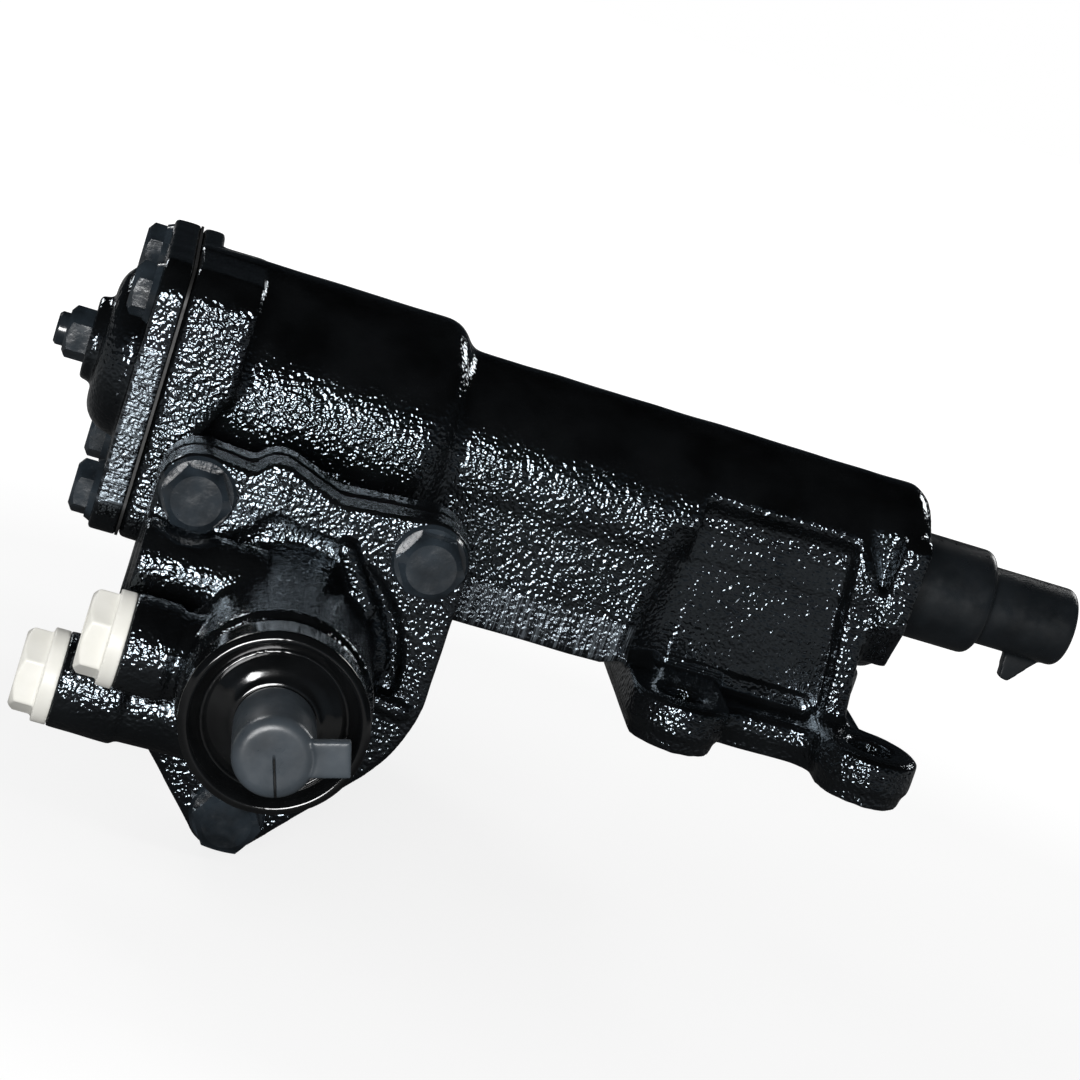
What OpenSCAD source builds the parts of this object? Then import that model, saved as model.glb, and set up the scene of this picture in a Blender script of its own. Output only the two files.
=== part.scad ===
// Power steering gearbox of the recirculating-ball kind, all sizes in millimetres.
// Gear frame: X runs along the sector shaft towards the output end and is 0 at the worm axis,
// Y points away from the input shaft, Z points up and is 0 on the sector axis.
// The finished part is moved so that its origin is the centre of the foot's mounting face.

/* [Gears] */
// Module of the rack and sector teeth
gear_module = 4.7; // [4.4:0.1:5]
// Teeth on the whole circle that the sector is a part of
sector_teeth = 11; // [10:1:12]
// Pressure angle of the rack
pressure_angle = 25; // [22:1:27]
// Swing of the sector shaft to each side, in degrees
swing = 38; // [30:1:40]
// Height of the sector axis above the worm axis
centre_dist = 55; // [53:0.5:58]
// Advance of the ball screw per turn
worm_lead = 10; // [9:0.5:11]
// Play between the teeth at the pitch line
backlash = 0.24; // [0.16:0.02:0.4]
// Width of the sector teeth along the shaft
sector_face = 34; // [28:1:40]

/* [Housing] */
// Wall round the sector chamber
chamber_wall = 5.8; // [5:0.1:9]
// Wall round the piston bore
cylinder_wall = 7.5; // [6:0.5:10]
// Thickness of the closed end of the piston bore
cylinder_end = 9; // [7:0.5:12]
// Length of the tube that carries the output shaft
tube_len = 144; // [136:1:160]
// Outer radius of that tube
tube_r = 29.3; // [28:0.1:32]
// Depth of the skirt below the sector axis
skirt_depth = 42; // [38:0.5:46]
// Thickness of the flange that carries the valve housing
housing_flange = 12; // [10:0.5:16]
// Depth of the block that carries the side cover
cover_block = 20; // [16:0.5:24]
// Relief behind the lower corners of that block
cover_relief = 6; // [4:0.5:8]

/* [Foot] */
// Height of the sector axis above the mounting face
foot_height = 56.5; // [54:0.5:62]
// Distance from the output end of the tube back to the foot's centre
foot_back = 33; // [30:0.5:40]
// Spacing of the mounting holes along the sector shaft
hole_pitch_x = 59; // [54:0.5:66]
// Spacing of the mounting holes across the sector shaft
hole_pitch_y = 90; // [86:0.5:104]
// Diameter of the mounting holes
hole_d = 13; // [10.5:0.5:15]
// Outer radius of the mounting lugs
lug_r = 15; // [13:0.5:17]
// Half width of the web above the foot
foot_web = 21.5; // [16:0.5:24]
// Thickness of the mounting lugs
lug_t = 15; // [12:0.5:17]

/* [Side cover] */
// Distance from the sector hub to the cover joint
cover_reach = 28; // [26:0.5:34]
// Thickness of the cover's flange
cover_t = 8; // [6:0.5:11]
// Thickness of the gasket
gasket_t = 0.8; // [0.5:0.1:1.5]
// Distance of the cover bolts from the sector axis, across
cover_bolt_y = 34; // [33:0.5:40]
// Height of the upper cover bolts above the sector axis
cover_bolt_up = 24.5; // [23:0.5:30]
// Depth of the lower cover bolts below the sector axis
cover_bolt_down = 35; // [30:0.5:40]
// Radius of the corners round the cover bolts
cover_lobe_r = 11; // [9.5:0.5:13]
// Rise of the cover's dome above its flange
dome_rise = 10.5; // [8:0.5:14]
// Diameter of the cover bolts
cover_bolt_d = 8; // [6:0.5:9]
// Width across the flats of the cover bolts
cover_bolt_af = 14; // [12:0.5:15]

/* [Sector shaft] */
// Radius of the sector shaft in its bearings
shaft_r = 16; // [15:0.25:17]
// Outer radius of the output spline
spline_r = 14.2; // [13:0.1:14.6]
// Length of the output spline
spline_len = 24; // [20:0.5:30]
// Number of output spline teeth
spline_teeth = 36; // [24:2:40]
// Radius of the output thread
thread_r = 10; // [8:0.5:11]
// Length of the output thread
thread_len = 29; // [22:0.5:34]
// Radius of the adjusting screw
adjuster_r = 5; // [4:0.25:5.5]
// Length of the adjusting screw beyond its lock nut
adjuster_out = 3; // [1:0.5:8]
// Width across the flats of the lock nut
lock_nut_af = 14; // [13:0.5:17]
// Height of the lock nut
lock_nut_h = 7; // [5:0.5:9]

/* [Valve housing] */
// Thickness of the valve housing's flange
valve_flange = 13; // [10:0.5:16]
// Depth of the hollows in the front of that flange
flange_hollow = 4.5; // [3:0.25:5.5]
// Length of the valve bore
valve_len = 38; // [36:0.5:46]
// Radius of the valve bore
valve_r = 21.5; // [20.5:0.1:22.5]
// Wall round the valve bore
valve_wall = 4.5; // [4:0.25:6]
// Length of the threaded nose in front of the valve
nose_len = 14; // [12:0.5:18]
// Radius of the lobes round the flange bolts
flange_lobe_r = 11.3; // [10.8:0.1:13]
// Diameter of the flange bolts
flange_bolt_d = 10; // [8:0.5:11]
// Width across the flats of the flange bolts
flange_bolt_af = 17; // [14:0.5:18]
// Directions of the flange bolts round the worm axis, in degrees
flange_bolt_angles = [132, 48, -89];

/* [Ports] */
// Radius of the port bosses
port_boss_r = 13.4; // [12:0.1:13.6]
// Distance of the pressure port's face from the worm axis
pressure_face = 41.5; // [38:0.5:48]
// Distance of the return port's face from the worm axis
return_face = 55; // [50:0.5:60]
// Depth of the return port below the worm axis
return_drop = 19.5; // [17:0.5:20]
// Distance between the ports along the worm axis
port_step = 17.5; // [17:0.5:20]
// Radius of the port thread
port_r = 8; // [6:0.5:9]
// Depth of the port thread
port_depth = 14; // [11:0.5:16]
// Width across the flats of the port plugs
plug_af = 21; // [19:0.5:23]

/* [Worm and valve] */
// Mean radius of the worm's thread
worm_r = 10.2; // [9.6:0.1:10.8]
// Half the depth of the worm's thread
worm_groove = 1.9; // [1.6:0.1:2]
// Radius of the recirculating balls
ball_r = 2.9; // [2.6:0.1:3]
// Radius of the rotary valve's spool
spool_r = 14.5; // [13.5:0.25:15.5]
// Radius of the input shaft in its bearing
input_r = 9; // [8.5:0.25:9.5]
// Radius of the input spline
input_spline_r = 8.5; // [7.5:0.25:8.5]
// Length of the input spline
input_spline_len = 24; // [20:0.5:30]
// Number of input spline teeth
input_spline_teeth = 36; // [24:2:40]
// Radius of the thin part of the torsion bar
torsion_r = 2.8; // [2.2:0.1:3.2]
// Turn of the valve to each side, in degrees
valve_twist = 4; // [2:0.5:5]

/* [Covers and caps] */
// Outer radius of the dust cover
dust_r = 24.8; // [23:0.1:26]
// Depth of the dust cover
dust_depth = 12; // [10:0.5:15]
// Wall of the shipping caps
cap_wall = 1.9; // [1.4:0.1:2.6]
// Reach of the input cap's pull tab from its axis
input_tab_reach = 19; // [16:0.5:22]
// Drop of the output cap's pull tab below the cap
output_tab_drop = 8; // [5:0.5:11]

/* [Hidden] */
$fn = 64;

// Fits: seat for pieces of one body, run for turning pieces, gap for pieces that only pass by
seat = 0.05;
run = 0.05;
gap = 0.3;
over = 1;
// Inset that lets a straight side cross the arc it runs into instead of grazing it
graze = 0.06;
cast_black = "#17181a";
steel = "#9a9da1";
dark_steel = "#3a3c40";
rubber = "#1d1e20";
ivory = "#ece9de";
brass = "#b08d4a";

// Gear sizes
pitch_r = gear_module * sector_teeth / 2;
tooth_pitch = PI * gear_module;
addendum = 0.8 * gear_module;
dedendum = gear_module;
tip_r = pitch_r + addendum;
root_r = pitch_r - dedendum;
base_r = pitch_r * cos(pressure_angle);
travel = pitch_r * swing * PI / 180;
rack_pitch_z = centre_dist - pitch_r;
rack_half = 1.5 * tooth_pitch + gear_module;

// Sector shaft along X
hub_r = shaft_r + 0.5;
hub_half = sector_face / 2 + 5;
cover_x = -(hub_half + cover_reach);
chamber_r = tip_r + 0.8;
chamber_out_r = chamber_r + chamber_wall;
chamber_in_x = hub_half + 6;
chamber_end_x = chamber_in_x + 10;
shoulder_r = 8;
cover_ear = 7;
tube_chamfer = 4;
end_pad_t = 9.5;
tube_end_x = chamber_end_x + tube_len;
journal_r = shaft_r - 2;
needle_t = 3.5;
needle_len = 20;
seal_seat_r = shaft_r + 5;
seal_len = 8;
seal_x = tube_end_x - 14;
spline_x = tube_end_x + 0.5;
spline_lead = 0.8;
thread_x = spline_x + spline_len;
shaft_end_x = thread_x + thread_len;
journal_x = cover_x + 2;
screw_head_r = adjuster_r + 2.2;
screw_head_t = 4.5;
pocket_r = screw_head_r + 0.8;
pocket_depth = 10;
cover_out_x = cover_x - gasket_t - cover_t;
cover_hole_x = cover_x + cover_block - cover_relief - 2;
boss_face_x = cover_out_x - dome_rise - 4;
cover_boss_r = journal_r + needle_t + 4;
adjuster_boss_r = lock_nut_af / 2 + 5.4;
dome_r = min(cover_bolt_y - cover_bolt_af / 2 - 1, chamber_r - 2.5);
dome_round = min(dome_rise - 0.5, dome_r - adjuster_boss_r - 1.5);

// Foot
foot_x = tube_end_x - foot_back;
foot_z = -foot_height;
foot_rib_t = 8;
foot_plate_t = lug_t * 0.8;
foot_step_t = lug_t * 0.34;
foot_step = 1.6;
hole_dx = hole_pitch_x / 2;
hole_dy = hole_pitch_y / 2;
rib_x = foot_x + hole_dx - lug_r + 4;

// Piston and cylinder along Y
piston_r = rack_pitch_z + addendum + 1.6;
bore_r = piston_r + run;
cylinder_r = bore_r + cylinder_wall;
nut_r = worm_r + worm_groove + ball_r + 0.7;
ball_circle = worm_r + worm_groove + 0.2;
piston_front_y = -(rack_half + 11.5);
ring_w = 3;
ring_y = chamber_r + travel + 2;
piston_back_y = ring_y + ring_w + 6;
piston_floor_y = piston_back_y - 8;
bore_end_y = piston_back_y + travel + 2;
spigot = 4;
joint_y = piston_front_y - travel - 1 - spigot;

// Valve housing along Y, with the input end at the lowest Y
flange_y = joint_y - valve_flange;
flange_r = cylinder_r + 3;
bolt_circle = cylinder_r + flange_bolt_d / 2 + 2.5;
bearing_y = joint_y - 8;
bearing_w = 7;
race_r = min(valve_r + 2.4, bore_r - 6);
race_t = 4.2;
worm_neck_r = 12;
bearing_ball_r = (race_r - worm_neck_r) / 2 - race_t + 0.9;
bearing_circle = (race_r + worm_neck_r) / 2;
head_t = 3.2;
valve_back_y = bearing_y - head_t - 0.8;
valve_front_y = valve_back_y - valve_len;
nose_y = valve_front_y - nose_len;
valve_body_r = valve_r + valve_wall;
nose_thread_r = valve_r - 1;
passage_angle = 106;
passage_circle = bolt_circle - flange_bolt_d / 2;
passage_r = 3.2;
passage_lobe_r = 8.5;
relief_boss_r = 11.5;
dust_back_y = nose_y - 0.6;
dust_front_y = dust_back_y - dust_depth;
input_end_y = dust_front_y - input_spline_len;
sleeve_r = valve_r - 0.1;
sleeve_back_y = valve_back_y;
sleeve_front_y = valve_front_y + 2;
worm_end_y = piston_floor_y - travel - 3;
thread_start_y = joint_y + 14;
worm_sides = 18;
worm_steps = 12;

// Torsion bar
bar_end_r = 4.5;
bar_end_len = 12;
bar_back_y = joint_y + 12;
bar_front_y = nose_y - 6;
pin_r = 1.5;
input_pin_y = bar_front_y + bar_end_len / 2;
worm_pin_y = bar_back_y - bar_end_len / 2;
input_tail_r = 7;
input_tail_y = bearing_y + 2;

// Ports: height above the worm axis, place along Y, face and boss
return_y = flange_y - port_boss_r - 1;
pressure_y = return_y - port_step;
pressure_rise = 1;
plug_flange_r = port_boss_r - 0.3;
plug_flange_t = 4.3;
plug_hex_h = 7;
plug_stem = port_depth - 3;

// Shapes in the gear frame
module place() translate([-foot_x, 0, foot_height]) children();
module worm_axis() translate([0, 0, -centre_dist]) children();
module xcyl(r, x0, x1) translate([x0, 0, 0]) rotate([0, 90, 0]) cylinder(r = r, h = x1 - x0);
module ycyl(r, y0, y1) translate([0, y0, 0]) rotate([-90, 0, 0]) cylinder(r = r, h = y1 - y0);
module zcyl(r, z0, z1) translate([0, 0, z0]) cylinder(r = r, h = z1 - z0);
module xring(r_out, r_in, x0, x1) difference() {
    xcyl(r_out, x0, x1);
    xcyl(r_in, x0 - over, x1 + over);
}
module yring(r_out, r_in, y0, y1) difference() {
    ycyl(r_out, y0, y1);
    ycyl(r_in, y0 - over, y1 + over);
}
// Solid of revolution about X from points of (distance along X, radius)
module xturn(points) rotate([0, 90, 0]) rotate_extrude() polygon([for (p = points) [p[1], p[0]]]);
// Solid of revolution about Y from points of (distance along Y, radius)
module yturn(points) rotate([-90, 0, 0]) rotate_extrude() polygon([for (p = points) [p[1], p[0]]]);
// Plate square to X from an outline in (Y, Z)
module xplate(x0, x1) translate([x0, 0, 0]) rotate([90, 0, 90]) linear_extrude(x1 - x0) children();
// Plate square to Y from an outline in (X, Z)
module yplate(y0, y1) translate([0, y1, 0]) rotate([90, 0, 0]) linear_extrude(y1 - y0) children();

function dir(a) = [cos(a), sin(a)];
function arc(c, r, a0, a1, n) = [for (i = [0:n]) c + r * dir(a0 + (a1 - a0) * i / n)];
function involute(a) = tan(a) * 180 / PI - a;
// Half the angle of a sector tooth at a radius
function tooth_half(r) = (tooth_pitch / 4 - backlash / 4) / pitch_r * 180 / PI
    + involute(pressure_angle) - involute(acos(base_r / max(r, base_r)));
function polar(r, a) = [r * sin(a), -r * cos(a)];

// Bar with round ends
module bar(a, b, r) {
    d = b - a;
    translate(a) circle(r);
    translate(b) circle(r);
    translate(a) rotate(atan2(d[1], d[0])) translate([0, graze - r]) square([norm(d), 2 * (r - graze)]);
}
// Lobe at a point, joined to a round plate by its outer tangents
module lobe(p, r, plate_r) {
    a = atan2(p[1], p[0]);
    t = acos((plate_r - r) / norm(p));
    plate_in = plate_r - graze;
    r_in = r - graze;
    translate(p) circle(r);
    polygon([
        [0, 0], plate_in * dir(a - t), p + r_in * dir(a - t), p + r_in * dir(a + t), plate_in * dir(a + t)
    ]);
}
// Plate with round corners at the given points, in order round the plate
module rounded_plate(points, r) {
    polygon(points);
    for (i = [0:len(points) - 1]) bar(points[i], points[(i + 1) % len(points)], r);
}
// Hexagon head standing on Z = 0, its rim chamfered down to a round top face
module hex_head(af, h, face_r) intersection() {
    cylinder(r = af / sqrt(3), h = h, $fn = 6);
    cylinder(r1 = face_r + 1.43 * h, r2 = face_r, h = h);
}
// Hexagon flange bolt along Z, its washer face on Z = 0 and its shank below
module flange_bolt(d, af, washer_r, head_h, shank) {
    washer_t = 1.8;
    cylinder(r1 = washer_r, r2 = washer_r - 0.8, h = washer_t);
    translate([0, 0, washer_t - 0.2]) hex_head(af, head_h, 0.41 * af);
    translate([0, 0, -shank]) cylinder(d = d, h = shank + 0.1);
}
// Splined bar along Z
module splined(r, depth, teeth, len) {
    linear_extrude(len) polygon([
        for (i = [0:2 * teeth - 1]) (r - (i % 2) * depth) * dir(i * 180 / teeth)
    ]);
}

cover_bolts = [
    [cover_bolt_y, cover_bolt_up], [-cover_bolt_y, cover_bolt_up],
    [-cover_bolt_y, -cover_bolt_down], [cover_bolt_y, -cover_bolt_down]
];
flange_bolts = [for (a = flange_bolt_angles) bolt_circle * dir(a)];
lug_points = [for (sx = [-1, 1], sy = [-1, 1]) [foot_x + sx * hole_dx, sy * hole_dy]];
bolt_hole = seat;

module cover_outline() rounded_plate(cover_bolts, cover_lobe_r);
module flange_outline(plate_r) {
    circle(plate_r);
    for (p = flange_bolts) lobe(p, flange_lobe_r, plate_r);
    lobe(passage_circle * dir(passage_angle), passage_lobe_r, plate_r);
    // Straight edge from the passage to the next bolt
    polygon([
        [0, 0], (plate_r - 0.6) * dir(passage_angle - 8), flange_bolts[1] + 0.65 * flange_lobe_r * dir(135)
    ]);
}

// Housing
// The two bars that end in the lugs, and the plate between them with its notches
module lug_bars(inset) for (sx = [-1, 1])
    bar([foot_x + sx * hole_dx, -hole_dy], [foot_x + sx * hole_dx, hole_dy], lug_r - inset);
module foot_plate(inset) {
    notch_r = 0.5 * lug_r;
    notch_x = hole_dx - lug_r + 1 - notch_r + inset;
    notch_y = hole_dy - 0.6 * lug_r + notch_r - inset;
    end_x = hole_dx;
    translate([foot_x, 0]) polygon(concat(
        [[-end_x, -notch_y]], arc([-notch_x, -notch_y], notch_r, 180, 90, 4),
        arc([notch_x, -notch_y], notch_r, 90, 0, 4), [[end_x, -notch_y], [end_x, notch_y]],
        arc([notch_x, notch_y], notch_r, 360, 270, 4), arc([-notch_x, notch_y], notch_r, 270, 180, 4),
        [[-end_x, notch_y]]
    ));
}
module foot() {
    rib_top = tube_r - 1.3;
    // Mounting face, a step smaller than the plate above it
    translate([0, 0, foot_z]) linear_extrude(foot_step_t + 0.5) {
        lug_bars(foot_step);
        foot_plate(foot_step);
    }
    translate([0, 0, foot_z + foot_step_t]) {
        linear_extrude(lug_t - foot_step_t) lug_bars(0);
        linear_extrude(foot_plate_t - foot_step_t) foot_plate(0);
    }
    // Ribs: an upright one beside the skirt and a leaning one at the output end
    xplate(foot_x - hole_dx - lug_r + 2, foot_x - hole_dx - lug_r + 2 + foot_rib_t) polygon([
        [-foot_web - 4, foot_z + 1], [foot_web + 4, foot_z + 1], [rib_top, 7], [-rib_top, 7]
    ]);
    intersection() {
        xplate(rib_x - 20, rib_x + 20) polygon([
            [-tube_r - 1, foot_z + 1], [tube_r + 1, foot_z + 1], [rib_top, 7], [-rib_top, 7]
        ]);
        yplate(-2 * tube_r, 2 * tube_r) polygon([
            [rib_x, foot_z - over], [rib_x + foot_rib_t, foot_z - over], [rib_x, 9], [rib_x - foot_rib_t, 9]
        ]);
    }
    // Web between the ribs
    web_x = foot_x - hole_dx - lug_r + foot_rib_t;
    intersection() {
        xplate(web_x, foot_x + hole_dx) polygon([
            [1 - foot_web, foot_z + 1], [foot_web - 1, foot_z + 1],
            [foot_web, -0.4 * tube_r], [-foot_web, -0.4 * tube_r]
        ]);
        yplate(-tube_r, tube_r) polygon([
            [web_x - over, foot_z - over], [rib_x + foot_rib_t / 2, foot_z - over],
            [rib_x - foot_rib_t / 2, 9], [web_x - over, 9]
        ]);
    }
}
// Flat sides of the tube between the ribs, and a notch between the leaning rib and the end pad
module tube_flats() {
    reach = tube_r + 8;
    flat_x = foot_x - hole_dx - lug_r + foot_rib_t - 0.5;
    lean = foot_rib_t / (9 - foot_z + over);
    low = foot_z + lug_t + 0.5;
    high = 0.9 * tube_r;
    notch_x = tube_end_x - end_pad_t - 0.2;
    intersection() {
        xplate(flat_x, notch_x) polygon([
            [foot_web + 0.7, low], [reach, low], [reach, 24], [foot_web + 0.7, 8]
        ]);
        yplate(0, reach + over) polygon([
            [flat_x - over, low - over], [rib_x + 0.5 - lean * (low - over - foot_z + over), low - over],
            [rib_x + 0.5 - lean * (high - foot_z + over), high], [flat_x - over, high]
        ]);
    }
    yplate(foot_web + 2, reach) polygon([[notch_x - 13, high - 6], [notch_x - 0.4, -3], [notch_x, high]]);
}
module skirt() {
    side_y = tube_r - 1.3;
    x0 = chamber_end_x - 6;
    x1 = foot_x - hole_dx - lug_r + foot_rib_t;
    xplate(x0, x1) polygon([[-side_y, 6], [side_y, 6], [side_y, -skirt_depth], [-side_y, -skirt_depth]]);
}
// Chamber and tube, joined by a convex and a hollow arc of 60 degrees each
module chamber_shell() {
    arcs = 2 * (chamber_out_r - tube_r);
    convex = 0.64 * arcs;
    hollow = arcs - convex;
    start = [chamber_end_x - arcs * sin(60), chamber_out_r - convex];
    xturn(concat(
        [[cover_x, 0], [cover_x, chamber_out_r]],
        arc(start, convex, 90, 30, 5),
        arc(start + arcs * dir(30), hollow, 210, 270, 4),
        [[tube_end_x - tube_chamfer, tube_r], [tube_end_x, tube_r - 0.7 * tube_chamfer], [tube_end_x, 0]]
    ));
}
// Block for the side cover, cut back on a slant below the sector axis
module cover_block_shell() difference() {
    back = cover_x + cover_block;
    reach = max(cover_bolt_y, cover_bolt_down) + cover_lobe_r + over;
    xplate(cover_x, back) cover_outline();
    yplate(-reach, reach) polygon([
        [back + over, 5], [back + over, -reach], [back - cover_relief, -reach], [back - cover_relief, -9]
    ]);
    // Only an ear is left at the upper corner away from the valve
    translate([cover_x + cover_ear, cover_bolt_y - 2 * cover_lobe_r, cover_bolt_up - 1.5 * cover_lobe_r])
        cube([cover_block, reach, reach]);
}
module cylinder_shell() {
    end_y = bore_end_y + cylinder_end;
    worm_axis() yturn(concat(
        [[joint_y, 0], [joint_y, cylinder_r]],
        arc([end_y - shoulder_r, cylinder_r - shoulder_r], shoulder_r, 90, 0, 6),
        [[end_y, 0]]
    ));
}
// Squared pad round the output end of the tube
module end_pad() {
    half = tube_r + 1.3;
    top = 0.64 * tube_r;
    xplate(tube_end_x - end_pad_t - 1, tube_end_x - 1) polygon([
        [-half, top - 3], [-half + 4, top], [half - 4, top], [half, top - 3], [half, -0.3 * tube_r],
        [0.8 * tube_r, -0.78 * tube_r], [-0.8 * tube_r, -0.78 * tube_r], [-half, -0.3 * tube_r]
    ]);
}
module housing_bores() {
    xcyl(chamber_r, cover_x - over, chamber_in_x);
    worm_axis() ycyl(bore_r, joint_y - over, bore_end_y);
    xcyl(shaft_r + 0.6, chamber_in_x - over, tube_end_x + over);
    for (x = [chamber_in_x - over, seal_x - 4 - needle_len])
        xcyl(shaft_r + needle_t, x, x + needle_len + over);
    xcyl(seal_seat_r, seal_x, tube_end_x + over);
    xcyl(seal_seat_r + 1, seal_x + seal_len, seal_x + seal_len + 1.6);
    for (p = lug_points) translate([p[0], p[1], 0]) zcyl(hole_d / 2, foot_z - over, foot_z + lug_t + over);
    for (p = cover_bolts)
        translate([0, p[0], p[1]]) xcyl(cover_bolt_d / 2 + bolt_hole, cover_x - over, cover_hole_x);
    worm_axis() for (p = flange_bolts)
        translate([p[0], 0, p[1]])
            ycyl(flange_bolt_d / 2 + bolt_hole, joint_y - over, joint_y + housing_flange + over);
    for (side = [0, 1]) mirror([0, side, 0]) tube_flats();
}
module gear_housing() color(cast_black) difference() {
    union() {
        chamber_shell();
        cover_block_shell();
        cylinder_shell();
        worm_axis() yplate(joint_y, joint_y + housing_flange) flange_outline(flange_r);
        end_pad();
        skirt();
        foot();
    }
    housing_bores();
}

// Side cover and adjuster
module side_cover() color(cast_black) difference() {
    union() {
        xplate(cover_out_x, cover_x - gasket_t) cover_outline();
        xturn(concat(
            [[cover_out_x + 1, 0], [boss_face_x, 0], [boss_face_x, adjuster_boss_r],
             [cover_out_x - dome_rise, adjuster_boss_r + 0.6]],
            arc([cover_out_x - dome_rise + dome_round, dome_r - dome_round], dome_round, 180, 90, 6),
            [[cover_out_x + 1, dome_r]]
        ));
        xcyl(cover_boss_r, cover_x - over, -hub_half - 2);
    }
    xcyl(journal_r + needle_t, journal_x - 2, -hub_half);
    xcyl(adjuster_r + seat, boss_face_x - over, journal_x);
    for (p = cover_bolts)
        translate([0, p[0], p[1]]) xcyl(cover_bolt_d / 2 + 0.4, cover_out_x - over, cover_x + over);
}
module side_cover_gasket() color(dark_steel) xplate(cover_x - gasket_t, cover_x) difference() {
    cover_outline();
    circle(chamber_r);
    for (p = cover_bolts) translate(p) circle(cover_bolt_d / 2 + 0.4);
}
module side_cover_bolts() color(dark_steel) for (p = cover_bolts)
    translate([cover_out_x, p[0], p[1]]) rotate([0, -90, 0])
        flange_bolt(cover_bolt_d, cover_bolt_af, cover_bolt_af * 0.66, 5.5, cover_hole_x - over - cover_out_x);
module adjusting_screw() color(dark_steel) difference() {
    tip_x = boss_face_x - lock_nut_h - adjuster_out;
    union() {
        xturn([[tip_x, 0], [tip_x, adjuster_r - 0.8], [tip_x + 0.8, adjuster_r],
               [journal_x + 3, adjuster_r], [journal_x + 3, 0]]);
        xcyl(screw_head_r, journal_x + 2.6, journal_x + 2.6 + screw_head_t);
    }
    translate([tip_x - over, 0, 0]) rotate([0, 90, 0]) cylinder(r = adjuster_r * 0.55, h = 5, $fn = 6);
}
module lock_nut() color(dark_steel) translate([boss_face_x, 0, 0]) rotate([0, -90, 0]) difference() {
    hex_head(lock_nut_af, lock_nut_h, 0.43 * lock_nut_af);
    translate([0, 0, -over]) cylinder(r = adjuster_r + seat, h = lock_nut_h + 2 * over);
}
module cover_needle_bearing() color(steel)
    xring(journal_r + needle_t - seat, journal_r + run, journal_x + 0.5, -hub_half - 3);

// Bearings and seal of the sector tube
module inner_needle_bearing() color(steel)
    xring(shaft_r + needle_t - seat, shaft_r + run, chamber_in_x + 0.2, chamber_in_x + needle_len - 1.2);
module outer_needle_bearing() color(steel)
    xring(shaft_r + needle_t - seat, shaft_r + run, seal_x - 4 - needle_len + 0.2, seal_x - 4);
module output_oil_seal() color(rubber) xturn([
    [seal_x, seal_seat_r - seat], [seal_x + seal_len - 0.2, seal_seat_r - seat],
    [seal_x + seal_len - 0.2, shaft_r + 2], [seal_x + seal_len - 1.5, shaft_r + 2],
    [seal_x + 3.4, shaft_r + run], [seal_x + 2.6, shaft_r + run], [seal_x + 1, shaft_r + 2],
    [seal_x, shaft_r + 2]
]);
module output_seal_ring() color(dark_steel)
    xring(seal_seat_r + 0.9, shaft_r + 2.5, seal_x + seal_len, seal_x + seal_len + 1.5);

// Sector shaft
module sector_outline() {
    ends = 1.5 * 360 / sector_teeth;
    flank = 6;
    circle(hub_r);
    polygon(concat(
        [[0, 0]],
        [for (i = [-1:1]) let (mid = i * 360 / sector_teeth) each concat(
            [polar(root_r, mid - tooth_half(base_r) - 1.5)],
            [for (k = [0:flank]) let (r = base_r + (tip_r - base_r) * k / flank) polar(r, mid - tooth_half(r))],
            [for (k = [flank:-1:0]) let (r = base_r + (tip_r - base_r) * k / flank) polar(r, mid + tooth_half(r))],
            [polar(root_r, mid + tooth_half(base_r) + 1.5)]
        )],
        [polar(hub_r - 1, ends + 4), polar(hub_r - 1, 120)]
    ));
}
module sector_shaft() color(steel) difference() {
    union() {
        xturn([
            [journal_x, 0], [journal_x, journal_r - 1], [journal_x + 1, journal_r], [-hub_half, journal_r],
            [-hub_half, hub_r], [hub_half, hub_r], [hub_half, shaft_r],
            [tube_end_x - 2 * spline_lead, shaft_r], [tube_end_x - gap, spline_r + 0.25], [tube_end_x - gap, 0]
        ]);
        xplate(-sector_face / 2, sector_face / 2) sector_outline();
        translate([spline_x - spline_lead - 0.1, 0, 0]) rotate([0, 90, 0])
            splined(spline_r, 0.7, spline_teeth, spline_len + spline_lead + 0.1);
        xturn([
            [thread_x - 0.1, 0], [thread_x - 0.1, thread_r], [shaft_end_x - 1.5, thread_r],
            [shaft_end_x, thread_r - 1.5], [shaft_end_x, 0]
        ]);
    }
    xcyl(pocket_r, journal_x - over, journal_x + pocket_depth);
}
module adjuster_shim() color(steel)
    xcyl(pocket_r - seat, journal_x + 2.6 + screw_head_t + 0.1, journal_x + pocket_depth);
module adjuster_retainer() color(steel)
    xring(pocket_r - seat, adjuster_r + gap, journal_x, journal_x + 2.4);

// Output cap: a wide sleeve over the spline, a narrow one over the thread and a pull tab
output_cap_in = spline_r + 0.35;
output_cap_r = output_cap_in + cap_wall;
output_cap_x = tube_end_x + gap;
output_step_x = thread_x + 0.5;
output_tip_in = thread_r + 0.4;
output_tip_r = output_tip_in + cap_wall;
output_cap_end = shaft_end_x + 0.4 + cap_wall;
module output_shaft_cap() color(rubber) union() {
    round_r = 2.4;
    tab_x = output_step_x + cap_wall + 3;
    xturn(concat(
        [[output_cap_x, output_cap_in], [output_cap_x, output_cap_r]],
        arc([output_step_x + cap_wall - round_r, output_cap_r - round_r], round_r, 90, 0, 5),
        [[output_step_x + cap_wall, output_tip_r]],
        arc([output_cap_end - round_r, output_tip_r - round_r], round_r, 90, 0, 5),
        [[output_cap_end, 0], [output_cap_end - cap_wall, 0], [output_cap_end - cap_wall, output_tip_in],
         [output_step_x, output_tip_in], [output_step_x, output_cap_in]]
    ));
    yplate(-2, 2) polygon([
        [tab_x, -output_tip_r + 1], [tab_x + 1, -output_tip_r - output_tab_drop],
        [tab_x + 4, -output_tip_r - output_tab_drop - 0.8], [tab_x + 12, -output_tip_r + 1]
    ]);
}

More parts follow.
